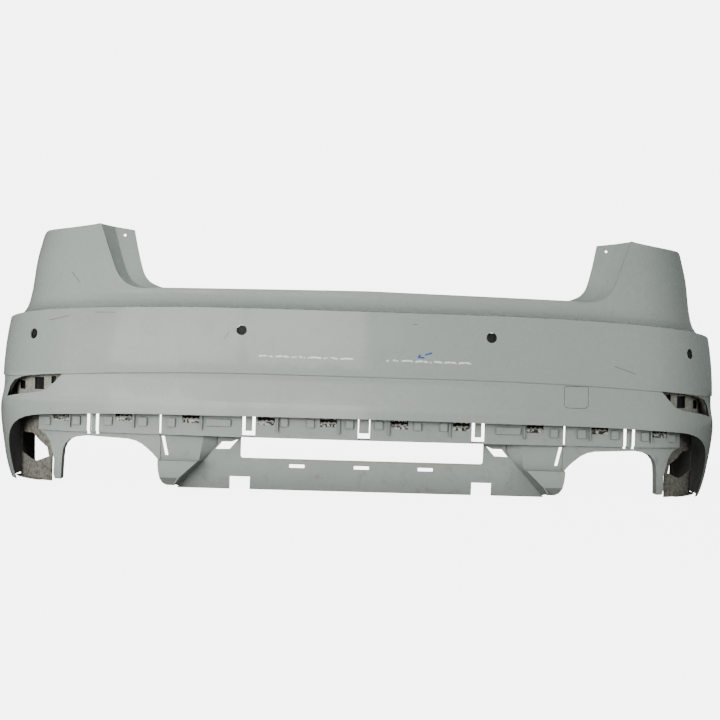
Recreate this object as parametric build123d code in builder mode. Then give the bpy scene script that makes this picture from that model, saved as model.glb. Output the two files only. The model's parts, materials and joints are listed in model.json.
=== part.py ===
from build123d import *

import os
from math import asin, cos, pi, radians, sin, sqrt

# Rear bumper cover of a compact saloon. X is across the car, -Y is outwards (the side that
# is seen from behind the car), +Z is up. The cover stands on its lower edges at Z = 0.

# ---- overall sizes ----
half_width = 900.0          # centre line to the side wall's widest line
wall = 3.0                  # moulded thickness of the skin
face_lean = 18.0            # how far the skin's lowest band stands out of the upper crease

# ---- wheel arch, as seen from the side; it sets how far back the sides reach ----
side_top_z = 398.0
arch_radius = 360.0
arch_z = 100.0
arch_reach = 860.0          # upper crease to the wheel's centre
depth = face_lean + arch_reach - sqrt(arch_radius ** 2 - (side_top_z - arch_z) ** 2)
front_y = face_lean - depth / 2     # plan line of the upper crease at the centre
arch_y = front_y + arch_reach

# ---- plan line: a shallow bow, a round corner and a straight side ----
bow_radius = 5000.0
corner_radius = 264.0
bow_half = half_width - face_lean - corner_radius
bow_half = bow_half / (1 - corner_radius / bow_radius)
bow_angle = asin(bow_half / bow_radius)
corner_x = bow_half - corner_radius * sin(bow_angle)
corner_y = front_y + bow_radius - (bow_radius - corner_radius) * cos(bow_angle)
bow_length = bow_radius * bow_angle
corner_length = corner_radius * (pi / 2 - bow_angle)
side_length = depth / 2 - corner_y + 20

# ---- heights of the skin's lines ----
edge_z = 177.0              # lower edge at the centre
break_z = 208.0             # soft break above the flared band
low_crease_z = 273.0
crease_z = 426.0            # sharp upper crease
shelf_z = 466.0             # top of the concave shelf
rim_z = 477.0               # top edge in the boot opening
ear_z = 623.0               # highest point of the ears
crease_fall = 42.0          # how far the upper crease sinks towards the sides
low_crease_fall = 24.0
crease_step = 3.0

# ---- ears and boot opening ----
ear_edge = [(545, 470), (571, 480), (589, 497), (604, 528), (622, 575), (640, ear_z)]
ear_top = [(640, ear_z), (684, 616), (776, 610)]
ear_corner = (808, 585)
step_depth = 28.0           # how far the lamp flange sits behind the ear's face
lamp_screw_x, lamp_screw_z, lamp_screw_radius = 586.0, 598.0, 3.2

ear_back_y = front_y + 275      # rear edge of the ears, beside the rear wings

# ---- holes in the skin ----
sensor_radius = 12.2
sensor_inner_x, sensor_inner_z = 292.0, 378.0
sensor_outer_x, sensor_outer_z = 799.0, 356.0
face_tilt = radians(7.5)    # lean of the skin where the sensors sit
cap_x, cap_z = 499.0, 242.0
cap_width, cap_height = 57.0, 50.0
cap_gap = 1.0

# ---- tow cap's hooks and socket ----
hook_width, hook_places = 9.0, (-15, 15)
hook_thick, hook_drop = 2.2, 7.8
latch_width, latch_reach = 16.0, 9.0
socket_gap, socket_depth = 3.0, 22.0    # behind the skin's inner face, and its own depth
socket_inside, socket_wall, socket_rim = 16.0, 3.0, 9.0     # inside is added to the cap's size

# ---- sensor holders ----
holder_disc_radius, holder_disc_thick = 25.0, 2.4
holder_wall, holder_length = 2.7, 16.0
holder_clearance = 0.3
holder_window = (8.0, 9.0)

# ---- carrier under the skin ----
carrier_wall = 2.6
strip_in = 12.0             # face of the clip strip, behind the plan line
fascia_in = 19.0            # face of the wall below the strip
box_in = 24.0               # face of the lower boxes beside the tailpipes
recess_in = 44.0            # face of the recess above each box
strip_low, strip_top = 126.0, 196.0
plate_foot = 0.0
plate_in = 60.0             # depth of the middle plate at its top
plate_slope = 0.10          # inwards per unit down
split_x = 637.0             # tongue between the centre carrier and the corner carriers
split_gap = 0.6


def heading(s):
    """Angle of the plan line at the distance s along it from the centre."""
    a = abs(s)
    if a <= bow_length:
        h = a / bow_radius
    elif a <= bow_length + corner_length:
        h = bow_angle + (a - bow_length) / corner_radius
    else:
        h = pi / 2
    return h if s >= 0 else -h


def plan_point(s):
    """Point of the plan line at the distance s along it from the centre."""
    a, h = abs(s), abs(heading(s))
    if a <= bow_length:
        x = bow_radius * sin(h)
        y = front_y + bow_radius * (1 - cos(h))
    elif a <= bow_length + corner_length:
        x = corner_x + corner_radius * sin(h)
        y = corner_y - corner_radius * cos(h)
    else:
        x = corner_x + corner_radius
        y = corner_y + a - bow_length - corner_length
    return (x if s >= 0 else -x, y)


def plan_y(x, out=0.0):
    """Y of the plan line moved outwards by out, at the place x."""
    a = abs(x)
    if a <= bow_half + out * sin(bow_angle):
        return front_y + bow_radius - sqrt((bow_radius + out) ** 2 - a * a)
    reach = (corner_radius + out) ** 2 - (a - corner_x) ** 2
    return corner_y - sqrt(max(reach, 0.0))


def across(s):
    """Upright plane square to the plan line: x outwards, y up."""
    x, y = plan_point(s)
    h = heading(s)
    return Plane(origin=(x, y, 0), x_dir=(sin(h), -cos(h), 0), z_dir=(-cos(h), -sin(h), 0))


def fall(s, start, length, power):
    return min(max((abs(s) - start) / length, 0.0), 1.0) ** power


def offset_in(points, t):
    """Points of a polyline moved to its left by t, with mitred corners."""
    moved = []
    for i, (px, py) in enumerate(points):
        before = points[max(i - 1, 0)]
        after = points[min(i + 1, len(points) - 1)]
        a = Vector(px - before[0], py - before[1]) if i > 0 else None
        b = Vector(after[0] - px, after[1] - py) if i < len(points) - 1 else None
        a = a or b
        b = b or a
        a, b = a.normalized(), b.normalized()
        n = Vector(-a.Y - b.Y, a.X + b.X)
        n = n.normalized()
        reach = t / max(n.dot(Vector(-a.Y, a.X)), 0.5)
        moved.append((px + n.X * reach, py + n.Y * reach))
    return moved


def skin_stretches(s):
    """The outer line of the skin's section, from its foot to the ear's top."""
    dip = crease_fall * fall(s, 250, 800, 2.2)
    low_dip = low_crease_fall * fall(s, 200, 650, 2.0)
    c = crease_z - dip
    k = low_crease_z - low_dip
    sh = shelf_z - 0.45 * dip
    lean = face_lean
    leg = [(lean - 33, -4), (lean - 18, 42), (lean - 9, 92), (lean - 2, 140), (lean, 174)]
    leg = leg + [(lean - 4.5, break_z)]
    band = [(lean - 4.5, break_z), (lean - 6.5, (break_z + k) / 2), (lean - 7, k)]
    step = [(lean - 7, k), (lean - 7 + crease_step, k + crease_step)]
    face = [step[1], (0.57 * lean, (c + k) / 2), (0, c)]
    shelf = [(0, c), (-20, c + 4.5), (-38, c + 0.45 * (sh - c)), (-47, sh)]
    ear = [(-47, sh), (-50, sh + 14), (-58, 530), (-69, 580), (-84, 640)]
    return [leg, band, step, face, shelf, ear]


def skin_section(s):
    stretches = skin_stretches(s)
    leg, band, step, face, shelf, ear = stretches
    inner_line = leg[:-1] + [band[0]] + [band[1], step[1], face[1], face[2]]
    inner_line = inner_line + shelf[1:] + ear[1:]
    inner_line = offset_in(inner_line, wall)
    cuts = [0, 5, 7, 9, 12, len(inner_line) - 1]
    with BuildSketch(across(s)) as sketch:
        with BuildLine():
            for points in stretches:
                if len(points) == 2:
                    Line(points[0], points[1])
                else:
                    Spline(points)
            Line(ear[-1], inner_line[-1])
            for low, high in reversed(list(zip(cuts, cuts[1:]))):
                Spline(list(reversed(inner_line[low:high + 1])))
            Line(inner_line[0], leg[0])
        make_face()
    return sketch.sketch


centre_steps, corner_steps = 6, 8
half_stations = [bow_length * i / centre_steps for i in range(centre_steps)]
half_stations += [bow_length + corner_length * i / corner_steps for i in range(corner_steps)]
half_stations += [bow_length + corner_length + side_length * i / 4 for i in range(5)]
stations = [-s for s in reversed(half_stations[1:])] + half_stations


def mirrored(points):
    """The points of a right-hand outline on the left side."""
    return [(-x, z) for x, z in points]


def both_sides(points):
    return [points, mirrored(points)]


def prism(points, near, far):
    """Solid of an X-Z outline between two Y values."""
    with BuildPart(mode=Mode.PRIVATE) as block:
        with BuildSketch(Plane.XZ.offset(-near)):
            with BuildLine():
                Polyline(points, close=True)
            make_face()
        extrude(amount=near - far)
    return block.part


def ring(inner, outer, low, high, first, last):
    """Upright sector of a tube round the corner's centre on the right, headings in degrees."""
    with BuildPart(mode=Mode.PRIVATE) as sector:
        with BuildSketch(Plane.XY.offset(low)):
            with BuildLine():
                CenterArc((corner_x, corner_y), outer, first - 90, last - first)
                CenterArc((corner_x, corner_y), inner, first - 90, last - first)
                a, b = radians(first - 90), radians(last - 90)
                for t in (a, b):
                    Line((corner_x + inner * cos(t), corner_y + inner * sin(t)),
                         (corner_x + outer * cos(t), corner_y + outer * sin(t)))
            make_face()
        extrude(amount=high - low)
    return sector.part


def export(part, name):
    """Writes one finished piece under its own name."""
    part.label = name
    export_step(part, "parts/" + name + ".step")


os.makedirs("parts", exist_ok=True)

# ---- outlines in the view from behind, right-hand side ----
skin_edge = [(0, edge_z), (200, 176.4), (370, 175), (547, 173), (640, 170), (724, 166)]
skin_edge += [(785, 160), (816, 150), (838, 134), (850, 112), (853, 85), (848, 50), (836, -4)]
reflector_hole = [(706, 261), (764, 257), (812, 251), (838, 242), (852, 227), (861, 201)]
reflector_hole += [(820, 209), (767, 216), (746, 223), (726, 241)]

# ---- skin ----
sensor_places = {
    "outer_left": (-sensor_outer_x, sensor_outer_z), "inner_left": (-sensor_inner_x, sensor_inner_z),
    "inner_right": (sensor_inner_x, sensor_inner_z), "outer_right": (sensor_outer_x, sensor_outer_z),
}


def skin_out(z):
    """How far the painted face stands outside the plan line at the height z, near the centre."""
    points = [p for stretch in skin_stretches(0) for p in stretch]
    for (n0, z0), (n1, z1) in zip(points, points[1:]):
        if z0 <= z <= z1 and z1 > z0:
            return n0 + (n1 - n0) * (z - z0) / (z1 - z0)
    return points[-1][0]


def on_plan(x, z, out, tilt=0.0):
    """Plane on the plan line moved outwards by out: x along the car's width, normal outwards."""
    a = abs(x)
    if a <= bow_half:
        h = asin(a / (bow_radius + out))
    else:
        h = asin((a - corner_x) / (corner_radius + out))
    h = h if x >= 0 else -h
    normal = (sin(h) * cos(tilt), -cos(h) * cos(tilt), sin(tilt))
    return Plane(origin=(x, plan_y(x, out), z), x_dir=(cos(h), sin(h), 0), z_dir=normal)


def cap_face(plane, grow):
    """Rounded outline of the towing-eye cap, with larger radii at its foot."""
    w, h = cap_width / 2 + grow, cap_height / 2 + grow
    top, foot = 4.0 + grow, 9.0 + grow
    with BuildSketch(plane, mode=Mode.PRIVATE) as sketch:
        with BuildLine():
            FilletPolyline((w, h), (-w, h), (-w, -h), (w, -h),
                           radius=[top, top, foot, foot], close=True)
        make_face()
    return sketch.sketch


def lamp_flange_section(edge, knee, rim, drop):
    """Section of the stepped lamp flange from the ear's edge over the knee to its rim."""
    reach = Vector(rim[0] - edge[0], rim[1] - edge[1])
    q = reach.normalized()
    k = (knee[0] - edge[0]) * q.X + (knee[1] - edge[1]) * q.Y
    y = plan_y(edge[0], ear_out(edge[1]))
    plane = Plane(origin=(edge[0], y, edge[1]), x_dir=(q.X, 0, q.Y), z_dir=(-q.Y, 0, q.X))
    face = [(-8, 1.6), (-1.5, 0.9), (k, drop), (reach.length, drop + 3)]
    back = [(reach.length, drop + 3 + wall), (k - 1.5, drop + wall), (-3.5, wall + 1.8), (-8, wall + 1.8)]
    with BuildSketch(plane, mode=Mode.PRIVATE) as sketch:
        with BuildLine():
            Polyline(face + back, close=True)
        make_face()
    return sketch.sketch


def ear_out(z):
    """Distance of the ear's face from the plan line at the height z, negative inwards."""
    points = skin_stretches(0)[-1]
    for (n0, z0), (n1, z1) in zip(points, points[1:]):
        if z <= z1:
            return n0 + (n1 - n0) * (z - z0) / (z1 - z0)
    return points[-1][0]


# edge, knee and rim lines of the lamp flange, from the top of the ear to the boot sill
flange_edge = [(640, 622), (622, 575), (604, 528), (589, 497), (571, 480), (545, 469), (516, 463)]
flange_knee = [(612, 616), (598, 571), (582, 526), (567, 496), (550, 480), (530, 472), (506, 467)]
flange_rim = [(564, 612), (553, 569), (542, 530), (532, 504), (517, 486), (500, 477), (482, 471)]
flange_steps = 14
flange_lines = [Spline(points) for points in (flange_edge, flange_knee, flange_rim)]


def lamp_flange_at(t):
    """Section of the lamp flange at the share t of the way down its lines."""
    edge, knee, rim = [((line @ t).X, (line @ t).Y) for line in flange_lines]
    drop = step_depth * (1 - max(0.0, (t - 0.55) / 0.45) ** 1.2) + 1.0
    return lamp_flange_section(edge, knee, rim, drop)


with BuildPart() as blank:
    loft(sections=[skin_section(s) for s in stations])

with BuildPart() as opening:
    with BuildSketch(Plane.XZ.offset(-front_y + 60)):
        with BuildLine():
            Polyline((-1, rim_z), (480, 471))
            Spline([(480, 471), (515, 469)] + ear_edge)
            Spline(ear_top)
            Spline([ear_top[-1], (797, 603), ear_corner, (816, 540)])
            Polyline((816, 540), (950, 560), (950, 700), (-1, 700), (-1, rim_z))
        make_face()
    extrude(amount=-(60 + depth))

# inward flange along each wheel arch, with holes for the liner's screws
arch_flange_width = 22.0
arch_hole_radius = 2.7
arch_hole_angles = [176, 160, 144]      # round the wheel's centre, from the rear
side_s = bow_length + corner_length + side_length / 2
side_line = [p for stretch in skin_stretches(side_s)[:4] for p in stretch[:-1]]
side_line.append(skin_stretches(side_s)[3][-1])
side_x = corner_x + corner_radius
with BuildPart() as arch_flange:
    with BuildSketch(Plane.YZ.offset(side_x - arch_flange_width)):
        with Locations((arch_y, arch_z)):
            Circle(arch_radius + wall)
            Circle(arch_radius, mode=Mode.SUBTRACT)
        with Locations((arch_y - 260, 185)):
            Rectangle(400, 370, mode=Mode.INTERSECT)
    extrude(amount=arch_flange_width + face_lean)
    with BuildSketch(Plane.XZ.offset(-front_y)):
        with BuildLine():
            Polyline([(side_x + n - 1, z) for n, z in side_line] + [(side_x - 60, side_line[-1][1]),
                     (side_x - 60, 0)], close=True)
        make_face()
    extrude(amount=-depth, mode=Mode.INTERSECT)
    for angle in arch_hole_angles:
        a = radians(angle)
        y, z = arch_y + arch_radius * cos(a), arch_z + arch_radius * sin(a)
        with BuildSketch(Plane(origin=(side_x - 11, y, z), x_dir=(1, 0, 0),
                               z_dir=(0, cos(a), sin(a))).offset(-5)):
            Circle(arch_hole_radius)
        extrude(amount=12, mode=Mode.SUBTRACT)

with BuildPart() as flange:
    loft(sections=[lamp_flange_at(i / flange_steps) for i in range(flange_steps + 1)])

with BuildPart() as cover_skin:
    add(blank.part)
    # side walls end under the rear wings and at the wheel arches
    with BuildSketch(Plane.YZ.offset(-half_width - 50)):
        with BuildLine():
            FilletPolyline((ear_back_y - 20, 700), (ear_back_y, 470), (ear_back_y + 18, side_top_z),
                           (ear_back_y + 600, side_top_z), (ear_back_y + 600, 700), radius=16)
            Line((ear_back_y + 600, 700), (ear_back_y - 20, 700))
        make_face()
        with Locations((arch_y, arch_z)):
            Circle(arch_radius)
    extrude(amount=2 * half_width + 100, mode=Mode.SUBTRACT)
    # boot opening and the ears' upper outline
    add(opening.part, mode=Mode.SUBTRACT)
    add(opening.part.mirror(Plane.YZ), mode=Mode.SUBTRACT)
    # flat foot that the side walls stand on
    with BuildSketch(Plane.XY):
        Rectangle(2 * half_width + 40, 2 * depth)
    extrude(amount=-20, mode=Mode.SUBTRACT)
    # open the foot between the two corner legs
    with BuildSketch(Plane.XZ.offset(-front_y + 60)):
        with BuildLine():
            Spline([(-x, z) for x, z in reversed(skin_edge[1:])] + skin_edge)
            Polyline(skin_edge[-1], (skin_edge[-1][0], -30), (-skin_edge[-1][0], -30),
                     (-skin_edge[-1][0], skin_edge[-1][1]))
        make_face()
    extrude(amount=-(60 + depth), mode=Mode.SUBTRACT)
    # stepped flanges that the lamps and the boot lid close against
    add(flange.part)
    add(flange.part.mirror(Plane.YZ))
    add(arch_flange.part)
    add(arch_flange.part.mirror(Plane.YZ))
    for x in (-lamp_screw_x, lamp_screw_x):
        with BuildSketch(Plane.XZ.offset(-front_y)):
            with Locations((x, lamp_screw_z)):
                Circle(lamp_screw_radius)
        extrude(amount=-250, mode=Mode.SUBTRACT)
    for x, z in sensor_places.values():
        with BuildSketch(on_plan(x, z, 30, face_tilt)):
            Circle(sensor_radius)
        extrude(amount=-60, mode=Mode.SUBTRACT)
    for points in both_sides(reflector_hole):
        add(prism(points, front_y - 60, front_y + 215), mode=Mode.SUBTRACT)
    extrude(cap_face(on_plan(cap_x, cap_z, 40), cap_gap), amount=-60, mode=Mode.SUBTRACT)
export(cover_skin.part, "cover_skin")

# ---- towing-eye cap, its socket and their hook line ----
cap_foot = cap_z - cap_height / 2
hook_plane = on_plan(cap_x, cap_foot, skin_out(cap_foot))
with BuildPart() as tow_cap:
    add(blank.part)
    extrude(cap_face(on_plan(cap_x, cap_z, 40), 0), amount=-60, mode=Mode.INTERSECT)
    # two hooks at the foot and a latch at the top
    for shift in hook_places:
        with BuildSketch(hook_plane.offset(-hook_thick)):
            with Locations((shift, 1.6)):
                Rectangle(hook_width, hook_thick)
        extrude(amount=-2 * hook_thick)
        with BuildSketch(hook_plane.offset(-2 * hook_thick - 0.2)):
            with Locations((shift, -1.2)):
                Rectangle(hook_width, hook_drop)
        extrude(amount=-2.0)
    with BuildSketch(hook_plane.offset(-hook_thick)):
        with Locations((0, cap_height - 3)):
            Rectangle(latch_width, 1.8)
    extrude(amount=-latch_reach)
export(tow_cap.part, "tow_cap")

with BuildPart() as tow_cap_socket:
    socket_plane = on_plan(cap_x, cap_z, skin_out(cap_z) - wall - socket_gap)
    for depth_in, margin, length in ((0, 2 * socket_wall, socket_depth),
                                     (socket_depth, 2 * socket_rim, 2.5)):
        with BuildSketch(socket_plane.offset(-depth_in)):
            width, height = cap_width + socket_inside, cap_height + socket_inside
            RectangleRounded(width + margin, height + margin, 8)
            RectangleRounded(width, height, 6, mode=Mode.SUBTRACT)
        extrude(amount=-length)
export(tow_cap_socket.part, "tow_cap_socket")

# ---- parking-sensor holders behind the skin ----
for name, (x, z) in sensor_places.items():
    with BuildPart() as sensor_holder:
        back = on_plan(x, z, 2.6, face_tilt)
        bore = sensor_radius + holder_clearance
        with BuildSketch(back):
            Circle(holder_disc_radius)
            Circle(bore, mode=Mode.SUBTRACT)
        extrude(amount=-holder_disc_thick)
        with BuildSketch(back.offset(-holder_disc_thick)):
            Circle(bore + holder_wall)
            Circle(bore, mode=Mode.SUBTRACT)
        extrude(amount=-holder_length)
        with BuildSketch(back.offset(-6)):
            with PolarLocations(sensor_radius + 2, 2):
                Rectangle(*holder_window)
        extrude(amount=-8, mode=Mode.SUBTRACT)
    export(sensor_holder.part, "sensor_holder_" + name)

# ---- reflector pockets ----
pocket_depth = 24.0
pocket_gap = 4.0            # between the skin's inner face and the pocket
pocket_out = skin_out(230) - wall - pocket_gap
pocket_windows = [(760, 786, 221, 250), (728, 741, 236, 254), (815, 832, 219, 240)]
for side, label in ((1, "right"), (-1, "left")):
    with BuildPart() as reflector_housing:
        near, far = corner_radius + pocket_out, corner_radius + pocket_out - pocket_depth
        add(ring(far, near, 190, 272, 5, 75))
        with BuildSketch(Plane.XZ.offset(-front_y + 60)):
            with BuildLine():
                Polyline(reflector_hole, close=True)
            make_face()
            offset(amount=4, kind=Kind.ARC)
        extrude(amount=-330, mode=Mode.INTERSECT)
        hollow = prism(reflector_hole, front_y - 60, front_y + 270)
        floor_cut = ring(far + carrier_wall, near + 5, 180, 280, 0, 85)
        add(hollow & floor_cut, mode=Mode.SUBTRACT)
        for x0, x1, z0, z1 in pocket_windows:
            add(prism([(x0, z0), (x1, z0), (x1, z1), (x0, z1)], front_y - 60, front_y + 270),
                mode=Mode.SUBTRACT)
    piece = reflector_housing.part if side > 0 else reflector_housing.part.mirror(Plane.YZ)
    export(piece, "reflector_housing_" + label)


# ---- carriers ----
def plan_band(face_in, thick, x_from, x_to, low, high):
    """Upright wall that follows the plan line, its face at face_in behind it."""
    count = 9
    xs = [x_from + (x_to - x_from) * i / (count - 1) for i in range(count)]
    with BuildPart(mode=Mode.PRIVATE) as band:
        with BuildSketch(Plane.XY.offset(low)):
            with BuildLine():
                face = Spline([(x, plan_y(x, -face_in)) for x in xs])
                back = Spline([(x, plan_y(x, -face_in) + thick) for x in reversed(xs)])
                Line(face @ 1, back @ 0)
                Line(back @ 1, face @ 0)
            make_face()
        extrude(amount=high - low)
    return band.part


def slab(x0, x1, z0, z1, near=-60, far=300):
    """Straight block through the carriers, near and far measured from the plan line's front."""
    return prism([(x0, z0), (x1, z0), (x1, z1), (x0, z1)], front_y + near, front_y + far)


def pad(x, z, width, height, proud, face_in=strip_in):
    """Rounded locating pad on the strip's face."""
    with BuildPart(mode=Mode.PRIVATE) as block:
        with BuildSketch(on_plan(x, z, -face_in).offset(-1.0)):
            RectangleRounded(width, height, 2.5)
        extrude(amount=1.0 + proud, taper=12)
    return block.part


pads = [(34, 163, 20, 22), (125, 163, 19, 22), (186, 163, 19, 22), (339, 158, 60, 18)]
pads += [(449, 155, 20, 22), (516, 155, 22, 22), (597, 154, 20, 22)]
ribs = [58, 201, 378, 537]
windows = [83, 228, 404, 561]
corner_pads, corner_ribs, corner_windows = [(672, 152, 20, 22), (744, 148, 18, 20)], [689], [712]
cut_from, cut_to = front_y - 60, front_y + 300      # reach of the cuts seen from the front
arc_line = [(478, 56), (480, 68), (492, 81), (505, 92), (518, 102), (533, 109), (551, 113)]
arc_line += [(600, 115), (648, 117), (676, 113), (691, 106), (701, 95), (706, 82), (708, 60)]
arc_line += [(709, 30), (710, -10)]
slot_width = 7.0
slot_top = 186.0
strip_slots = [(256.5, slot_width), (279.5, slot_width), (474.5, 4.0), (623.5, slot_width)]
tongue_low = 141.0
tongue_x, tongue_half = 268.0, 9.0      # between the two slots beside the middle
centre_slot_x, centre_half = 13.0, 14.2
rib_half = 1.3
strip_window_half = 20.0

# ---- middle plate, which slopes inwards from the strip to the foot ----
plate_top = strip_low + carrier_wall
plate_edge = [(341, plate_top + 1), (341, 107), (356, 87), (376, 68), (424, 14), (437, -1)]
window_x, window_low, window_high = 287.0, 75.0, 126.0
plate_slots = [(-154, 58), (-1, 58), (151, 58)]
plate_notches = [(-288, 30), (286, 30)]
tether_hole = [(294, 118), (309, 112), (331, 112), (346, 94), (314, 95)]


def plate_depth(z):
    """Distance of the sloping plate's face behind the plan line's front at the height z."""
    return plate_in + (plate_top - z) * plate_slope


with BuildPart() as middle_plate:
    with BuildSketch(Plane.YZ.offset(-440)):
        with BuildLine():
            face = [(front_y + plate_depth(z), z) for z in (plate_top, plate_foot)]
            Polyline(face[0], face[1], (face[1][0] + wall, plate_foot),
                     (face[0][0] + wall, plate_top), close=True)
        make_face()
    extrude(amount=880)
    with BuildSketch(Plane.XZ.offset(-front_y)):
        with Locations((0, (window_low + window_high) / 2)):
            RectangleRounded(2 * window_x, window_high - window_low, 6)
        with Locations(*plate_slots):
            RectangleRounded(36, 8, 1.5)
        with Locations(*[(x, z - 15) for x, z in plate_notches]):
            Rectangle(47, 30)
    extrude(amount=-200, mode=Mode.SUBTRACT)
    for points in both_sides(tether_hole):
        add(prism(points, front_y, front_y + 200), mode=Mode.SUBTRACT)
    for points in both_sides(plate_edge + [(460, -1), (460, 140), (341, 140)]):
        add(prism(points, front_y, front_y + 200), mode=Mode.SUBTRACT)


def ledge(x_from, x_to, reach_in):
    """Flat ledge that runs back from the strip's lower edge to reach_in."""
    with BuildPart(mode=Mode.PRIVATE) as shelf:
        add(plan_band(strip_in + 1, reach_in, x_from, x_to, strip_low, plate_top))
        add(slab(x_from, x_to, strip_low, plate_top, 0, reach_in), mode=Mode.INTERSECT)
    return shelf.part


def slanted_wall(front, back, near, far):
    """Thin wall from a line at the depth near to a line with as many points at the depth far."""
    with BuildPart(mode=Mode.PRIVATE) as piece:
        for line, depth in ((front, near), (back, far)):
            with BuildSketch(Plane.XZ.offset(-front_y - depth)):
                with BuildLine():
                    Polyline(line + [(x + carrier_wall, z + 1) for x, z in reversed(line)], close=True)
                make_face()
        loft(ruled=True)
    return piece.part


# ---- boxes and recesses beside the tailpipe arches, right-hand side ----
box_outline = [(386, 66), (427, 27), (438, 8), (456, 8), (466, 13), (472, 24), (476, 40), (478, 56)]
box_outline += [(478, 66)]
box_depth = 50.0
recess_end = 480.0
box_chamfer = (27, 16)              # height of the front face's lower edge, depth of the chamfer
recess_outline = [(374, 126), (384, 62), (389, 60), (recess_end, 60), (recess_end, 126)]
# the slanted wall between recess, box and plate: its lines in front and on the plate
ramp_front = [(374, 128), (376, 110), (380, 88), (385, 64)]
ramp_back = [(336, 128), (338, 107), (353, 86), (373, 67)]
chute_front = [(386, 66), (427, 27), (437, 12)]
chute_back = [(373, 68), (421, 14), (432, 4)]
with BuildPart() as side_box:
    with BuildSketch(Plane.XZ.offset(-front_y - box_in)):
        with BuildLine():
            Polyline(box_outline, close=True)
        make_face()
    extrude(amount=-box_depth)
    with BuildSketch(Plane.YZ.offset(370)):
        with BuildLine():
            Polyline((front_y + box_in, box_chamfer[0]), (front_y + box_in + box_chamfer[1], 6),
                     (front_y + box_in, 6), close=True)
        make_face()
    extrude(amount=120, mode=Mode.SUBTRACT)
    hollow_face = side_box.faces().sort_by(Axis.Y)[-1]
    offset(amount=-carrier_wall, openings=hollow_face, kind=Kind.INTERSECTION)
    # recess face, its roof and its outer wall
    with BuildSketch(Plane.XZ.offset(-front_y - recess_in)):
        with BuildLine():
            Polyline(recess_outline, close=True)
        make_face()
    extrude(amount=-carrier_wall)
    add(ledge(368, recess_end, recess_in + carrier_wall))
    add(prism([(recess_end - carrier_wall, 60), (recess_end, 60), (recess_end, 128),
               (recess_end - carrier_wall, 128)],
              front_y + fascia_in + 24, front_y + recess_in + carrier_wall))
    # slanted walls that lead back to the plate
    add(slanted_wall(ramp_front, ramp_back, recess_in, plate_in + 7))
    add(slanted_wall(chute_front, chute_back, box_in + 0.2, plate_in + 12))
    # slanted slit that parts the recess from the arch wall
    add(prism([(465, 122), (472, 122), (462, 78), (455, 78)], front_y + recess_in - 5,
              front_y + recess_in + 8), mode=Mode.SUBTRACT)

# ---- lip that turns inwards along the tailpipe arch ----
lip_depth = 36.0
lip = arc_line + list(reversed(offset_in(arc_line, carrier_wall)))


def arch_lip(x_from, x_to, low):
    """Stretch of the arch's inward lip, on the right."""
    with BuildPart(mode=Mode.PRIVATE) as piece:
        add(prism(lip, cut_from, cut_to))
        add(plan_band(fascia_in, lip_depth, x_from, x_to, low, strip_low + 1), mode=Mode.INTERSECT)
    return piece.part


with BuildPart() as diffuser_carrier:
    reach = split_x - split_gap / 2
    add(plan_band(strip_in, carrier_wall, -reach, reach, strip_low, strip_top))
    for side in (1, -1):
        # wall under the strip, from the lower boxes to the split
        ends = sorted((side * 474, side * reach))
        add(plan_band(fascia_in, carrier_wall, ends[0], ends[1], 50, plate_top))
        add(plan_band(strip_in, fascia_in - strip_in + carrier_wall, ends[0], ends[1],
                      strip_low, plate_top))
    for points in both_sides(arc_line + [(478, -10)]):
        add(prism(points, cut_from, cut_to), mode=Mode.SUBTRACT)
    inner_lip = arch_lip(476, reach, 56)
    add(inner_lip)
    add(inner_lip.mirror(Plane.YZ))
    for side in (1, -1):
        for x, z, width, height in pads:
            add(pad(side * x, z, width, height, 5.0))
        for x in ribs:
            strip_y = plan_y(x, -strip_in) - front_y
            add(slab(side * x - rib_half, side * x + rib_half, 140, strip_top - 6,
                     strip_y - 5, strip_y + 1))
        for x in windows:
            add(slab(side * x - strip_window_half, side * x + strip_window_half, 163, 173),
                mode=Mode.SUBTRACT)
        for x, width in strip_slots:
            add(slab(side * x - width / 2, side * x + width / 2, strip_low - 4, slot_top),
                mode=Mode.SUBTRACT)
        add(slab(side * tongue_x - tongue_half, side * tongue_x + tongue_half,
                 strip_low - 4, tongue_low), mode=Mode.SUBTRACT)
        add(slab(side * centre_slot_x - 1.2, side * centre_slot_x + 1.2, tongue_low, slot_top),
            mode=Mode.SUBTRACT)
    add(slab(-centre_half, centre_half, strip_low - 4, tongue_low + 2), mode=Mode.SUBTRACT)
    add(middle_plate.part)
    add(side_box.part)
    add(side_box.part.mirror(Plane.YZ))
    add(ledge(-370, 370, plate_in + 2))
export(diffuser_carrier.part, "diffuser_carrier")

# ---- corner carriers with their legs, and the shields behind them ----
corner_end_x = 770.0
corner_slot_x = 644.5
leg_outside = [(772, 128.7), (768, 124), (751, 115), (740, 99), (734, 78), (728, 57), (729, 24)]
leg_outside += [(725, 12)]
leg_outside += [(700, 12), (700, -20), (800, -20), (800, 128.7)]
shield_in = 34.0
shield_from, shield_to = 31, 74
shield_top = 164.0
shield_hole = [(793, 114), (774, 98), (751, 83), (746, 62), (781, 48), (798, 52), (814, 59)]
shield_hole += [(838, 64), (838, 114)]


def place(part, side):
    return part if side > 0 else part.mirror(Plane.YZ)


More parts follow.
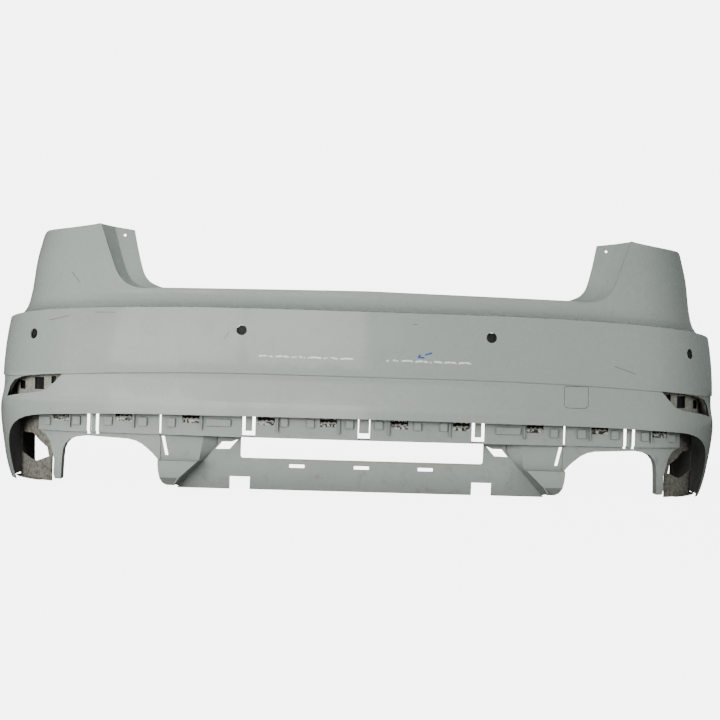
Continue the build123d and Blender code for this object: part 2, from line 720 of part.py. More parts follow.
with BuildPart() as corner_carrier:
    start = split_x + split_gap / 2
    add(plan_band(strip_in, carrier_wall, start, corner_end_x, strip_low, 188))
    add(plan_band(fascia_in, carrier_wall, start, corner_end_x, 0, plate_top))
    add(plan_band(strip_in, fascia_in - strip_in + carrier_wall, start, corner_end_x,
                  strip_low, plate_top))
    add(prism(arc_line + [(478, -10)], cut_from, cut_to), mode=Mode.SUBTRACT)
    add(arch_lip(start, 722, 12))
    add(prism(leg_outside, cut_from, cut_to), mode=Mode.SUBTRACT)
    for x, z, width, height in corner_pads:
        add(pad(x, z, width, height, 5.0))
    for x in corner_ribs:
        strip_y = plan_y(x, -strip_in) - front_y
        add(slab(x - rib_half, x + rib_half, 136, 184, strip_y - 5, strip_y + 1))
    for x in corner_windows:
        add(slab(x - strip_window_half, x + strip_window_half, 158, 168), mode=Mode.SUBTRACT)
    add(slab(corner_slot_x - slot_width / 2, corner_slot_x + slot_width / 2, strip_low - 4, 180),
        mode=Mode.SUBTRACT)

with BuildPart() as corner_shield:
    face_radius = corner_radius - shield_in
    add(ring(face_radius - carrier_wall, face_radius, 4, shield_top, shield_from, shield_to))
    add(ring(face_radius - carrier_wall, face_radius + 44, shield_top - carrier_wall, shield_top,
             shield_from + 8, shield_to))
    add(ring(face_radius - carrier_wall, face_radius + 10, 4, 4 + carrier_wall,
             shield_from + 8, shield_to))
    add(prism(shield_hole, front_y, cut_to), mode=Mode.SUBTRACT)

# ---- brackets behind the ears and along the side walls ----
bracket_out = ear_out(560) - wall - 4.0
bracket_wall, bracket_low, bracket_high, bracket_shelf = 2.2, 500.0, 556.0, 18.0
bracket_from, bracket_to = 12, 62       # headings round the corner
with BuildPart() as ear_bracket:
    near = corner_radius + bracket_out
    add(ring(near - bracket_wall, near, bracket_low, bracket_high, bracket_from, bracket_to))
    add(ring(near - bracket_shelf, near, bracket_low, bracket_low + bracket_wall,
             bracket_from, bracket_to))
    middle = (corner_x, corner_y, (bracket_low + bracket_high) / 2)
    for angle in (22, 37, 52):
        a = radians(angle - 90)
        plane = Plane(origin=middle, x_dir=(-sin(a), cos(a), 0), z_dir=(cos(a), sin(a), 0))
        with BuildSketch(plane.offset(near - 20)):
            RectangleRounded(14, 26, 4)
        extrude(amount=30, mode=Mode.SUBTRACT)

rail_from, rail_to = front_y + 345, front_y + 585
rail_low, rail_high = 348.0, 372.0
rail_x = side_x - 4.5                   # outer face of the rail
rail_web, rail_flange, rail_reach = 3.0, 2.4, 18.0
rail_slots, slot_half = 5, 14.0
with BuildPart() as arch_rail:
    add(prism([(rail_x - rail_web, rail_low), (rail_x, rail_low), (rail_x, rail_high),
               (rail_x - rail_web, rail_high)], rail_from, rail_to))
    add(prism([(rail_x - rail_reach, rail_high - rail_flange), (rail_x, rail_high - rail_flange),
               (rail_x, rail_high), (rail_x - rail_reach, rail_high)], rail_from, rail_to))
    for i in range(rail_slots):
        y = rail_from + (i + 0.5) * (rail_to - rail_from) / rail_slots
        add(prism([(rail_x - 15, rail_high - 6), (rail_x - 7, rail_high - 6),
                   (rail_x - 7, rail_high + 2), (rail_x - 15, rail_high + 2)],
                  y - slot_half, y + slot_half), mode=Mode.SUBTRACT)

# ---- sheet-metal nuts on the wheel-arch flanges ----
nut_thick, nut_length, nut_width = 1.0, 16.0, 14.0
nut_gap = 0.4                           # to each face of the flange
with BuildPart() as arch_nuts:
    for angle in arch_hole_angles:
        a = radians(angle)
        y, z = arch_y + arch_radius * cos(a), arch_z + arch_radius * sin(a)
        plane = Plane(origin=(side_x - 11, y, z), x_dir=(1, 0, 0), z_dir=(0, cos(a), sin(a)))
        for lift in (wall + nut_gap, -nut_thick - nut_gap):
            with BuildSketch(plane.offset(lift)):
                with Locations((-3, 0)):
                    Rectangle(nut_length, nut_width)
                Circle(arch_hole_radius - nut_gap, mode=Mode.SUBTRACT)
            extrude(amount=nut_thick)
        with BuildSketch(plane.offset(-nut_thick - nut_gap)):
            with Locations((-11.5, 0)):
                Rectangle(1.0, nut_width)
        extrude(amount=wall + 2 * (nut_thick + nut_gap))

for side, label in ((1, "right"), (-1, "left")):
    export(place(corner_carrier.part, side), "corner_carrier_" + label)
    export(place(corner_shield.part, side), "corner_shield_" + label)
    export(place(ear_bracket.part, side), "ear_bracket_" + label)
    export(place(arch_rail.part, side), "arch_rail_" + label)
    export(place(arch_nuts.part, side), "arch_nuts_" + label)

# ---- spring clips that hold the lower trim, one behind each window ----
teeth = [(-18, 0), (-18, 5), (-13, 3.4), (-9, 6.4), (-4, 3.8), (1, 6.6), (6, 3.2), (12, 6.2)]
teeth += [(18, 4.4), (18, 0)]
clip_gap = 1.2                          # behind the carrier
clip_thick, tongue_width, tongue_length = 0.8, 22.0, 9.0
clip_places = [(side * x, 161.5, strip_in) for x in windows for side in (1, -1)]
clip_places += [(side * x, 156.5, strip_in) for x in corner_windows for side in (1, -1)]
with BuildPart() as trim_clips:
    for x, z, face_in in clip_places:
        plane = on_plan(x, z, -face_in - carrier_wall - clip_gap)
        with BuildSketch(plane):
            with BuildLine():
                Polyline(teeth, close=True)
            make_face()
        extrude(amount=-clip_thick)
        with BuildSketch(plane.offset(0.1 - clip_thick)):
            with Locations((0, 1.4)):
                Rectangle(tongue_width, 1.2)
        extrude(amount=-tongue_length)
export(trim_clips.part, "trim_clips")
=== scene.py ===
import bmesh
import bpy
import json
from math import atan2, cos, pi, radians, sin
from mathutils import Matrix, Vector


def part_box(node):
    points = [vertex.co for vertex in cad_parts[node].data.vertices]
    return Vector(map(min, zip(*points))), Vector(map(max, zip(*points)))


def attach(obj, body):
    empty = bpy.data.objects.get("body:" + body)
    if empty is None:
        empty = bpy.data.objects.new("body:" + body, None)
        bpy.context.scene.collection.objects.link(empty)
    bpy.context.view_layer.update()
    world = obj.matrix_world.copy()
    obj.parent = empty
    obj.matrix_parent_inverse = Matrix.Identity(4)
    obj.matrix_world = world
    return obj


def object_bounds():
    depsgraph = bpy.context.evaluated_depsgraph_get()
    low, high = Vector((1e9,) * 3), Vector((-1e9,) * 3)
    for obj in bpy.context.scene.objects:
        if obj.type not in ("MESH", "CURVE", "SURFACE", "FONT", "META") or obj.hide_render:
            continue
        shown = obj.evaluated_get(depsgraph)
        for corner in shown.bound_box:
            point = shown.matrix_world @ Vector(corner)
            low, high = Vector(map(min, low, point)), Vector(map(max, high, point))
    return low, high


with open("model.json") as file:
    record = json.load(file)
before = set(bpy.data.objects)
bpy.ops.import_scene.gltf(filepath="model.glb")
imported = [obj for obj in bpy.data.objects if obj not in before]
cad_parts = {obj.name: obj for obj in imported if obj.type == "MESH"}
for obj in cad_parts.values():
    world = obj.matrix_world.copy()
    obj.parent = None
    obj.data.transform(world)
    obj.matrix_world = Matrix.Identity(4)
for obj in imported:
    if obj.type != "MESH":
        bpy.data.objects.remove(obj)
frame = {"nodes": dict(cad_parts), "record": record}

cad_box = [list(corner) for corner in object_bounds()]
FRONT = cad_box[0][1]                   # outermost point of the painted face


def clusters(node, gap):
    """Boxes of the separate pieces in a node, told apart by gaps along X."""
    points = sorted((v.co.copy() for v in frame["nodes"][node].data.vertices), key=lambda p: p.x)
    groups = [[points[0]]]
    for p in points[1:]:
        if p.x - groups[-1][-1].x > gap:
            groups.append([])
        groups[-1].append(p)
    return [(Vector([min(p[i] for p in g) for i in range(3)]),
             Vector([max(p[i] for p in g) for i in range(3)])) for g in groups]


# ---- shader maths ----
class Mat:
    """A material whose maths is written as expressions."""

    def __init__(self, name):
        self.mat = bpy.data.materials.new(name)
        self.mat.use_nodes = True
        self.tree = self.mat.node_tree
        self.tree.nodes.clear()
        self.out = self.tree.nodes.new("ShaderNodeOutputMaterial")
        self.place = self.node("ShaderNodeTexCoord").out("Object")

    def node(self, kind, settings=None, **sockets):
        n = self.tree.nodes.new(kind)
        for key, value in (settings or {}).items():
            setattr(n, key, value)
        for key, value in sockets.items():
            place = int(key[1:]) if key[0] == "_" else key.replace("_", " ")
            socket = n.inputs[place]
            if isinstance(value, Sock):
                self.tree.links.new(value.socket, socket)
            else:
                socket.default_value = value
        return Node(self, n)

    def noise(self, scale, detail=3.0, rough=0.55, stretch=(1, 1, 1), at=(0, 0, 0)):
        where = self.node("ShaderNodeMapping", Vector=self.place, Scale=stretch, Location=at)
        where = where.out("Vector")
        n = self.node("ShaderNodeTexNoise", Vector=where, Scale=scale, Detail=detail, Roughness=rough)
        return n.out(0)

    def ramp(self, value, low, high):
        """0 below low, 1 above high."""
        n = self.node("ShaderNodeMapRange", {"interpolation_type": "SMOOTHSTEP"}, Value=value,
                      From_Min=low, From_Max=high)
        return n.out(0)

    def mix(self, share, a, b):
        """Colour a where share is 0 and b where it is 1."""
        return self.node("ShaderNodeMix", {"data_type": "RGBA"}, _0=share, _6=a, _7=b).out(2)

    def vector(self, operation, a, b):
        return self.node("ShaderNodeVectorMath", {"operation": operation}, _0=a, _1=b)

    def axis(self, index):
        return self.node("ShaderNodeSeparateXYZ", Vector=self.place).out(index)

    def occlusion_shade(self, reach, low=0.25, high=0.85):
        """Ambient-occlusion mask for painted shade: 1 in corners and gaps narrower than about the
        reach, 0 on open faces.
        """
        n = self.node("ShaderNodeAmbientOcclusion", {"samples": 6}, Distance=reach)
        return self.ramp(1.0 - n.out("AO"), low, high)

    def surface(self, bump=None, strength=0.2, distance=0.001, **sockets):
        shader = self.node("ShaderNodeBsdfPrincipled", **sockets)
        if bump is not None:
            normal = self.node("ShaderNodeBump", Height=bump, Strength=strength, Distance=distance)
            self.tree.links.new(normal.out(0).socket, shader.n.inputs["Normal"])
        self.tree.links.new(shader.out(0).socket, self.out.inputs["Surface"])
        return self.mat


class Node:
    def __init__(self, owner, n):
        self.owner, self.n = owner, n

    def out(self, key):
        return Sock(self.owner, self.n.outputs[key])


class Sock:
    """An output socket that adds Math nodes when it is used in an expression."""

    def __init__(self, owner, socket):
        self.owner, self.socket = owner, socket

    def math(self, operation, a, b=0.0):
        return self.owner.node("ShaderNodeMath", {"operation": operation}, _0=a, _1=b).out(0)

    def __add__(self, other):
        return self.math("ADD", self, other)

    def __sub__(self, other):
        return self.math("SUBTRACT", self, other)

    def __rsub__(self, other):
        return self.math("SUBTRACT", other, self)

    def __mul__(self, other):
        return self.math("MULTIPLY", self, other)

    def __truediv__(self, other):
        return self.math("DIVIDE", self, other)

    def __pow__(self, other):
        return self.math("POWER", self, other)

    def abs(self):
        return self.math("ABSOLUTE", self)

    def max(self, other):
        return self.math("MAXIMUM", self, other)

    def min(self, other):
        return self.math("MINIMUM", self, other)

    __radd__ = __add__
    __rmul__ = __mul__


def rgb(r, g, b):
    return (r, g, b, 1.0)


car_middle = (0, 0.10, 0.25)


def painted_side(m):
    """1 on surfaces that face away from the middle of the car, 0 on the inner side."""
    shape = m.node("ShaderNodeNewGeometry").out("True Normal")
    away = m.vector("SUBTRACT", m.place, car_middle).out(0)
    flat = m.vector("MULTIPLY", away, (0.45, 1.6, 0.6)).out(0)
    return m.ramp(m.vector("DOT_PRODUCT", shape, flat).out("Value"), -0.03, 0.03)


def stroke(m, start, end, width):
    """Mask of a thin straight mark on the face, from start to end in X and Z."""
    (x0, z0), (x1, z1) = start, end
    length = ((x1 - x0) ** 2 + (z1 - z0) ** 2) ** 0.5
    ux, uz = (x1 - x0) / length, (z1 - z0) / length
    x, z = m.axis(0) - (x0 + x1) / 2, m.axis(2) - (z0 + z1) / 2
    along = (x * ux + z * uz).abs()
    aside = (z * ux - x * uz).abs()
    ends = 1.0 - m.ramp(along, 0.46 * length, 0.5 * length)
    return (1.0 - m.ramp(aside, 0.3 * width, width)) * ends


# painted glints, bright reflections of lamps along a shallow dent line, in rows along the face: first
# X, pitch, count
glint_rows = ((-0.251, 0.0375, 6), (0.044, 0.0337, 6))
scratches = (((-0.7045, 0.5037), (-0.6814, 0.4769)), ((-0.746, 0.3853), (-0.6956, 0.3968)),
             ((-0.6344, 0.4066), (-0.5857, 0.4077)), ((0.585, 0.318), (0.640, 0.300)),
             ((-0.330, 0.352), (-0.318, 0.372)), ((0.105, 0.400), (0.118, 0.401)))
pen_strokes = (((0.1354, 0.3300), (0.1520, 0.3355)), ((0.1190, 0.3235), (0.1250, 0.3305)),
               ((0.1190, 0.3245), (0.1340, 0.3235)))


def painted_glints(m):
    """Short bowed painted glints (painted highlights along a shallow dent line), end to end in two
    rows along the face.
    """
    x, z = m.axis(0), m.axis(2)
    glints = 0.0
    for first, pitch, count in glint_rows:
        place = (x - first) / pitch
        share = m.node("ShaderNodeMath", {"operation": "FRACT"}, _0=place).out(0)
        bow = share * (1.0 - share) * 0.010
        line = (z - (0.3143 - 0.006 * x) - bow + 0.0008).abs()
        body = 1.0 - m.ramp(line, 0.0011, 0.0026)
        ends = m.ramp(share, 0.02, 0.10) * (1.0 - m.ramp(share, 0.84, 0.95))
        row = m.ramp(place, -0.01, 0.01) * (1.0 - m.ramp(place, count - 0.05, count))
        glints = body * ends * row + glints
    return glints


lower_edge = 0.190                      # of the painted face
edge_fade = 0.012
crease, crease_fade = 0.2615, 0.0065    # the line above the low band


def gloss_paint():
    m = Mat("gloss_paint")
    outside = painted_side(m)
    front = (1.0 - m.ramp(m.axis(1), -0.02, 0.02)) * outside
    broad = m.noise(2.2, 3.0)
    dust = m.ramp(m.noise(26.0, 5.0, 0.62), 0.46, 0.74)
    low = 1.0 - m.ramp(m.axis(2), 0.02, 0.30)
    colour = m.mix(broad, rgb(0.485, 0.548, 0.490), rgb(0.530, 0.590, 0.532))
    colour = m.mix(dust * (0.10 + 0.25 * low), colour, rgb(0.40, 0.39, 0.34))
    specks = m.ramp(m.noise(170.0, 2.0, 0.5, at=(7, 2, 4)), 0.735, 0.775)
    colour = m.mix(specks * 0.55, colour, rgb(0.16, 0.15, 0.12))
    scuff = m.ramp(m.noise(60.0, 4.0, 0.6, stretch=(0.16, 1, 1.6)), 0.70, 0.78)
    scuff = scuff * m.ramp(broad, 0.52, 0.66)
    colour = m.mix(scuff * 0.25, colour, rgb(0.74, 0.75, 0.72))
    cuts = 0.0
    for start, end in scratches:
        cuts = stroke(m, start, end, 0.0011) + cuts
    colour = m.mix((cuts * front).min(0.75), colour, rgb(0.15, 0.13, 0.11))
    # painted highlight: the glints lighten the paint to near white, broken up by noise
    glints = painted_glints(m) * front * m.ramp(m.noise(70.0, 2.0, 0.5, at=(5, 5, 5)), 0.36, 0.50)
    colour = m.mix(glints.min(1.0), colour, rgb(0.96, 0.97, 0.96))
    ink = 0.0
    for start, end in pen_strokes:
        ink = stroke(m, start, end, 0.0026) + ink
    colour = m.mix((ink * front).min(0.95), colour, rgb(0.020, 0.12, 0.50))
    # painted shade: near black in narrow gaps and corners of the paint
    colour = m.mix(m.occlusion_shade(0.0035), colour, rgb(0.045, 0.043, 0.037))
    height = m.axis(2)
    # painted light: the low band between the lower edge and the crease is lightened, most on the left
    # and fading towards the right
    painted_light_band = m.ramp(height, lower_edge, lower_edge + edge_fade)
    painted_light_band = painted_light_band * (1.0 - m.ramp(height, crease - crease_fade, crease + crease_fade))
    colour = m.mix(painted_light_band * (1.0 - m.ramp(m.axis(0), -0.1, 0.6)) * 0.35, colour, rgb(0.72, 0.78, 0.73))
    grime = m.noise(18.0, 5.0, 0.65, at=(1, 8, 2))
    raw = m.mix(m.ramp(grime, 0.30, 0.78), rgb(0.045, 0.045, 0.041), rgb(0.085, 0.079, 0.064))
    colour = m.mix(outside, raw, colour)
    rough = 0.25 + 0.14 * dust + 0.18 * scuff + 0.30 * (1.0 - outside)
    peel = m.noise(340.0, 2.0, 0.5)
    wave = m.noise(5.0, 2.0, 0.4)
    # painted glow: the glints also emit light, though they are no lamp
    painted_glow = m.mix(glints.min(1.0), rgb(0, 0, 0), rgb(0.40, 0.41, 0.40))
    return m.surface(bump=0.06 * peel + wave, strength=0.10, distance=0.002, Base_Color=colour,
                     Roughness=rough, Coat_Weight=0.5 * outside, Coat_Roughness=0.06, IOR=1.45,
                     Emission_Color=painted_glow, Emission_Strength=1.0)


clip_gap = 0.03                         # separate clips are further apart than this along X
clips = clusters("trim_clips", clip_gap)
# middles of the windows in the strip, right-hand side, and the height of their lower edges
clip_windows = [((low.x + high.x) / 2, low.z + 0.0015) for low, high in clips if low.x > 0]
window_half, torn_height = 0.0195, 0.008


def overspray():
    m = Mat("overspray")
    cloud = m.noise(14.0, 4.0, 0.6)
    dirt = m.ramp(m.noise(34.0, 6.0, 0.68, at=(3, 1, 0)), 0.52, 0.78)
    low = 1.0 - m.ramp(m.axis(2), 0.0, 0.12)
    corner = m.ramp(m.axis(0).abs(), 0.64, 0.75)
    colour = m.mix(cloud, rgb(0.46, 0.515, 0.465), rgb(0.55, 0.605, 0.555))
    colour = m.mix(dirt * (0.30 + 0.30 * low + 0.35 * corner), colour, rgb(0.24, 0.215, 0.15))
    # painted light and shade by facing: faces turned sideways or down are darkened, faces that look
    # up are lightened
    flat = m.node("ShaderNodeSeparateXYZ", Vector=m.node("ShaderNodeNewGeometry").out("True Normal"))
    turned = m.ramp(1.0 - flat.out(1).abs(), 0.05, 0.6)
    above = m.ramp(flat.out(2), 0.3, 0.9)
    colour = m.mix(turned * (1.0 - above) * 0.55, colour, rgb(0.16, 0.175, 0.155))
    colour = m.mix(above * 0.5, colour, rgb(0.72, 0.77, 0.71))
    # painted shade: recesses and faces under ledges darkened over a reach of 7 cm
    colour = m.mix(m.occlusion_shade(0.07, 0.02, 0.6) * 0.5, colour, rgb(0.17, 0.185, 0.165))
    # painted shade in narrow corners and gaps, with dirt: darker where the dirt noise is high
    colour = m.mix(m.occlusion_shade(0.014) * (0.45 + 0.4 * dirt), colour, rgb(0.075, 0.070, 0.055))
    # painted shade: the dark of each clip window is carried down on the face below it, with pale torn
    # shards mixed in
    across, up = m.axis(0).abs(), m.axis(2)
    below_windows = 0.0
    for x, top in clip_windows:
        there = 1.0 - m.ramp((across - x).abs(), window_half - 0.001, window_half + 0.001)
        foot = top - torn_height
        below_windows = there * m.ramp(up, foot - 0.001, foot + 0.001) + below_windows
    torn = m.noise(150.0, 3.0, 0.6, at=(2, 9, 4))
    torn_shards_and_painted_dark = m.mix(m.ramp(torn, 0.49, 0.53), rgb(0.045, 0.042, 0.034), rgb(0.66, 0.67, 0.60))
    colour = m.mix((below_windows * (1.0 - turned)).min(1.0), colour, torn_shards_and_painted_dark)
    damp = m.ramp(m.noise(9.0, 4.0, 0.7, at=(4, 4, 4)), 0.45, 0.62)
    below_window = 1.0 - m.ramp((m.axis(2) - 0.073).abs(), 0.001, 0.004)
    middle = 1.0 - m.ramp(m.axis(0).abs(), 0.27, 0.29)
    colour = m.mix(below_window * middle * (0.35 + 0.5 * damp), colour, rgb(0.52, 0.45, 0.27))
    grain = m.noise(420.0, 3.0, 0.6)
    return m.surface(bump=grain + cloud, strength=0.18, distance=0.0008, Base_Color=colour,
                     Roughness=0.42 + 0.25 * dirt, Coat_Weight=0.15, Coat_Roughness=0.25)


def dirty_plastic(name, clean, dirty, amount):
    m = Mat(name)
    cloud = m.noise(30.0, 5.0, 0.65)
    spots = m.ramp(m.noise(120.0, 6.0, 0.7, at=(2, 5, 1)), 0.5 - 0.12 * amount, 0.72)
    streak = m.ramp(m.noise(60.0, 4.0, 0.6, stretch=(1, 1, 0.15)), 0.5, 0.8)
    colour = m.mix(cloud, clean, tuple(0.8 * c for c in clean[:3]) + (1.0,))
    colour = m.mix((spots + streak * 0.6).min(1.0) * amount, colour, dirty)
    # painted shade: dark brown in corners and gaps
    colour = m.mix(m.occlusion_shade(0.02) * 0.75, colour, rgb(0.035, 0.030, 0.020))
    return m.surface(bump=cloud + 0.4 * spots, strength=0.35, distance=0.001, Base_Color=colour,
                     Roughness=0.55 + 0.25 * spots)


def moulded_black():
    m = Mat("moulded_black")
    grain = m.noise(700.0, 3.0, 0.6)
    dust = m.ramp(m.noise(40.0, 5.0, 0.65), 0.45, 0.75)
    colour = m.mix(dust * 0.5, rgb(0.018, 0.018, 0.019), rgb(0.11, 0.105, 0.09))
    return m.surface(bump=grain, strength=0.25, distance=0.0004, Base_Color=colour,
                     Roughness=0.48 + 0.2 * dust)


def spring_steel():
    m = Mat("spring_steel")
    brush = m.noise(300.0, 4.0, 0.6, stretch=(0.2, 1, 3))
    rust = m.ramp(m.noise(90.0, 5.0, 0.7), 0.55, 0.75)
    colour = m.mix(brush, rgb(0.46, 0.44, 0.38), rgb(0.62, 0.60, 0.54))
    colour = m.mix(rust * 0.7, colour, rgb(0.16, 0.10, 0.06))
    return m.surface(bump=brush, strength=0.2, distance=0.0003, Base_Color=colour,
                     Metallic=0.7 - 0.5 * rust, Roughness=0.42 + 0.3 * rust)


finishes = {
    "paint": gloss_paint(),
    "overspray": overspray(),
    "shield": dirty_plastic("shield_plastic", rgb(0.36, 0.355, 0.31), rgb(0.085, 0.072, 0.045), 0.9),
    "housing": dirty_plastic("housing_plastic", rgb(0.56, 0.57, 0.50), rgb(0.14, 0.12, 0.075), 0.6),
    "black_plastic": moulded_black(),
    "spring_steel": spring_steel(),
}
for row in frame["record"]["subparts"]:
    node = frame["nodes"][row["node"]]
    for place in range(len(node.material_slots)):
        node.material_slots[place].material = finishes[row["material_slot"]]


# ---- pieces behind the skin's openings ----
def keep(name, shape, finish, move=None):
    """Makes a mesh object of a bmesh at its place and lets it ride on the cover."""
    if move is not None:
        bmesh.ops.transform(shape, matrix=move, verts=shape.verts)
    bmesh.ops.recalc_face_normals(shape, faces=shape.faces)
    mesh = bpy.data.meshes.new(name)
    shape.to_mesh(mesh)
    shape.free()
    for face in mesh.polygons:
        face.use_smooth = False
    piece = bpy.data.objects.new(name, mesh)
    bpy.context.scene.collection.objects.link(piece)
    mesh.materials.append(finish)
    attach(piece, "cover")
    return piece


def facing(place, axis):
    """Matrix that turns +Z to the axis and carries the origin to the place."""
    turn = Vector(axis).to_track_quat("Z", "Y").to_matrix().to_4x4()
    return Matrix.Translation(Vector(place)) @ turn


blank_radius, blank_thick, blank_in = 0.0124, 0.0030, 0.0053
for mount in frame["record"]["mounts"]:
    if mount["name"].startswith("sensor_hole"):
        side = mount["name"].replace("sensor_hole", "sensor_blank")
        shape = bmesh.new()
        bmesh.ops.create_cone(shape, cap_ends=True, segments=48, radius1=blank_radius,
                              radius2=blank_radius, depth=blank_thick)
        front = [f for f in shape.faces if f.normal.z > 0.9]
        for thickness, lift in ((0.0016, -0.0009), (0.0035, 0.0), (0.0012, 0.0007)):
            bmesh.ops.inset_region(shape, faces=front, thickness=thickness, use_even_offset=True)
            bmesh.ops.translate(shape, verts=list({v for f in front for v in f.verts}),
                                vec=(0, 0, lift))
        axis = Vector(mount["axis"])
        keep(side, shape, finishes["black_plastic"],
             facing(Vector(mount["pos_m"]) - blank_in * axis, axis))


bow_radius = 5.0
pocket_size = Vector((0.047, 0.022, 0.021))
for number, (low, high) in enumerate(clips):
    middle = (low + high) / 2
    shape = bmesh.new()
    bmesh.ops.create_cube(shape, size=1.0)
    bmesh.ops.delete(shape, geom=[f for f in shape.faces if f.normal.y < -0.9], context="FACES")
    bmesh.ops.scale(shape, vec=pocket_size, verts=shape.verts)
    bmesh.ops.bevel(shape, geom=[e for e in shape.edges if not e.is_boundary], offset=0.002,
                    segments=2, affect="EDGES", profile=0.5, material=-1)
    turn = Matrix.Rotation(middle.x / bow_radius, 4, "Z")
    back = Vector((middle.x, high.y + 0.001 + pocket_size.y / 2, high.z + 0.001))
    pocket = keep("clip_pocket_%02d" % (number + 1), shape, finishes["black_plastic"],
                  Matrix.Translation(back) @ turn)
    wall = pocket.modifiers.new("wall", "SOLIDIFY")
    wall.thickness = 0.0012

# dark back of the tow cap's socket
low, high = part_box("tow_cap_socket")
cap = next(j for j in frame["record"]["behaviour"]["joints"] if j["name"] == "tow_cap_hinge")
across = Vector(cap["axis"]).normalized()
into = Vector((-across.y, across.x, 0))
socket_middle = (low + high) / 2
shape = bmesh.new()
bmesh.ops.create_cube(shape, size=1.0)
back_width, back_thick, back_place = 0.088, 0.002, 0.0135
bmesh.ops.scale(shape, vec=(back_width, back_thick, high.z - low.z - 0.002), verts=shape.verts)
corners = [e for e in shape.edges if abs(e.verts[0].co.y - e.verts[1].co.y) > 0.001]
bmesh.ops.bevel(shape, geom=corners, offset=0.008, segments=5, affect="EDGES", profile=0.5,
                material=-1)
turn = Matrix.Rotation(atan2(across.y, across.x), 4, "Z")
keep("tow_cap_back", shape, finishes["black_plastic"],
     Matrix.Translation(socket_middle + back_place * into) @ turn)

# dark backs of the reflector pockets, round the cover's corners
corner_centre = Vector((0.618, -0.0155))
back_gap = 0.004
for label, side in (("left", -1), ("right", 1)):
    node = frame["nodes"]["reflector_housing_" + label]
    spots = [Vector((v.co.x * side, v.co.y)) - corner_centre for v in node.data.vertices]
    inner = min(spot.length for spot in spots) - back_gap
    angles = sorted(atan2(spot.y, spot.x) for spot in spots)
    first, last = angles[0], angles[-1]
    low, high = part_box("reflector_housing_" + label)
    shape = bmesh.new()
    centre = Vector((corner_centre.x * side, corner_centre.y, 0))
    start = Vector((inner * cos(first) * side, inner * sin(first), 0)) + centre
    ends = [shape.verts.new(start + Vector((0, 0, z))) for z in (low.z + 0.002, high.z - 0.002)]
    line = shape.edges.new(ends)
    bmesh.ops.spin(shape, geom=ends + [line], cent=centre, axis=(0, 0, side), dvec=(0, 0, 0),
                   angle=last - first, steps=24, use_duplicate=False)
    plate = keep("reflector_back_" + label, shape, finishes["black_plastic"])
    wall = plate.modifiers.new("wall", "SOLIDIFY")
    wall.thickness, wall.offset = 0.0015, 0.0


# ---- floor, light and camera ----
bpy.ops.mesh.primitive_plane_add(size=60, location=(0, 0, -0.0005))
floor = bpy.context.object
floor.name = "studio_floor"
m = Mat("studio_white")
mottle = m.noise(3.0)
whites = m.mix(mottle, rgb(0.90, 0.90, 0.90), rgb(0.93, 0.93, 0.93))
pale = m.node("ShaderNodeBsdfDiffuse", Color=whites)
glow = m.node("ShaderNodeEmission", Color=rgb(1, 1, 1), Strength=5.6)
lit = m.node("ShaderNodeAddShader", _0=pale.out(0), _1=glow.out(0))
dim = m.node("ShaderNodeBsdfDiffuse", Color=rgb(0.22, 0.22, 0.22))
seen = m.node("ShaderNodeLightPath").out("Is Camera Ray")
floor_shader = m.node("ShaderNodeMixShader", _0=seen, _1=dim.out(0), _2=lit.out(0))
m.tree.links.new(floor_shader.out(0).socket, m.out.inputs["Surface"])
floor.data.materials.append(m.mat)

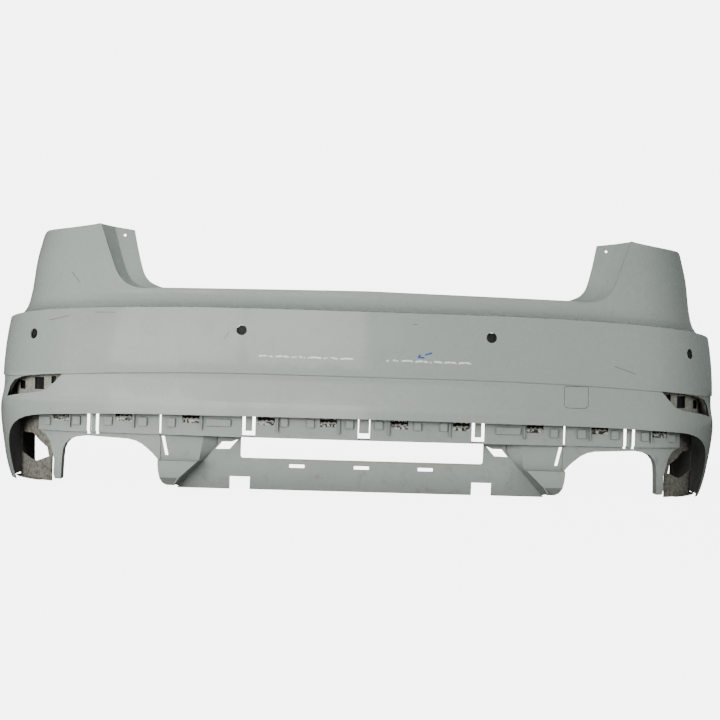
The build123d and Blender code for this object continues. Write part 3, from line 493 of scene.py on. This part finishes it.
world = bpy.data.worlds.new("studio")
bpy.context.scene.world = world
world.use_nodes = True
sky = world.node_tree
sky.nodes.clear()
sky_out = sky.nodes.new("ShaderNodeOutputWorld")
seen_or_lit = sky.nodes.new("ShaderNodeMixShader")
direct = sky.nodes.new("ShaderNodeLightPath")
backdrop_strength, room_strength, ceiling_strength = 6.0, 0.24, 0.05
room = sky.nodes.new("ShaderNodeBackground")
room.inputs["Color"].default_value = (0.90, 0.97, 0.97, 1)
aim = sky.nodes.new("ShaderNodeTexCoord")
rise = sky.nodes.new("ShaderNodeSeparateXYZ")
fade = sky.nodes.new("ShaderNodeMapRange")
sky.links.new(aim.outputs["Generated"], rise.inputs[0])
sky.links.new(rise.outputs["Z"], fade.inputs["Value"])
for socket, value in (("From Min", 0.15), ("From Max", 0.8), ("To Min", room_strength),
                      ("To Max", ceiling_strength)):
    fade.inputs[socket].default_value = value
sky.links.new(fade.outputs[0], room.inputs["Strength"])
backdrop = sky.nodes.new("ShaderNodeBackground")
backdrop.inputs["Color"].default_value = (1, 1, 1, 1)
backdrop.inputs["Strength"].default_value = backdrop_strength
sky.links.new(direct.outputs["Is Camera Ray"], seen_or_lit.inputs[0])
sky.links.new(room.outputs[0], seen_or_lit.inputs[1])
sky.links.new(backdrop.outputs[0], seen_or_lit.inputs[2])
sky.links.new(seen_or_lit.outputs[0], sky_out.inputs["Surface"])


def softbox(name, place, target, width, height, power, mirrored=False):
    data = bpy.data.lights.new(name, "AREA")
    data.shape = "RECTANGLE"
    data.size, data.size_y = width, height
    data.energy = power
    lamp = bpy.data.objects.new(name, data)
    bpy.context.scene.collection.objects.link(lamp)
    lamp.location = place
    lamp.rotation_euler = (Vector(target) - Vector(place)).to_track_quat("-Z", "Y").to_euler()
    lamp.visible_camera = False
    lamp.visible_glossy = mirrored
    return lamp


softbox("key", (-2.4, -3.4, 0.70), (-0.2, 0, 0.25), 2.6, 1.1, 104)
softbox("fill", (2.9, -3.0, 0.8), (0.3, 0, 0.3), 1.8, 1.2, 20)
softbox("back", (0.5, 3.4, 1.4), (0, 0, 0.3), 2.4, 1.4, 40)
softbox("window_left", (-2.08, -6.0, 1.9), (-2.08, 0, 1.9), 1.55, 2.4, 40, True)
softbox("window_right", (-0.47, -6.0, 1.9), (-0.47, 0, 1.9), 1.40, 2.4, 40, True)

eye = Vector((-0.13, FRONT + 0.018 - 3.0, 0.314))
yaw, roll = radians(2.2), radians(1.77)
camera_data = bpy.data.cameras.new("camera")
camera_data.lens, camera_data.sensor_width = 64.7, 36.0
camera = bpy.data.objects.new("camera", camera_data)
bpy.context.scene.collection.objects.link(camera)
turn = Matrix.Rotation(-yaw, 4, "Z") @ Matrix.Rotation(pi / 2, 4, "X") @ Matrix.Rotation(roll, 4, "Z")
camera.matrix_world = Matrix.Translation(eye) @ turn
bpy.context.scene.camera = camera
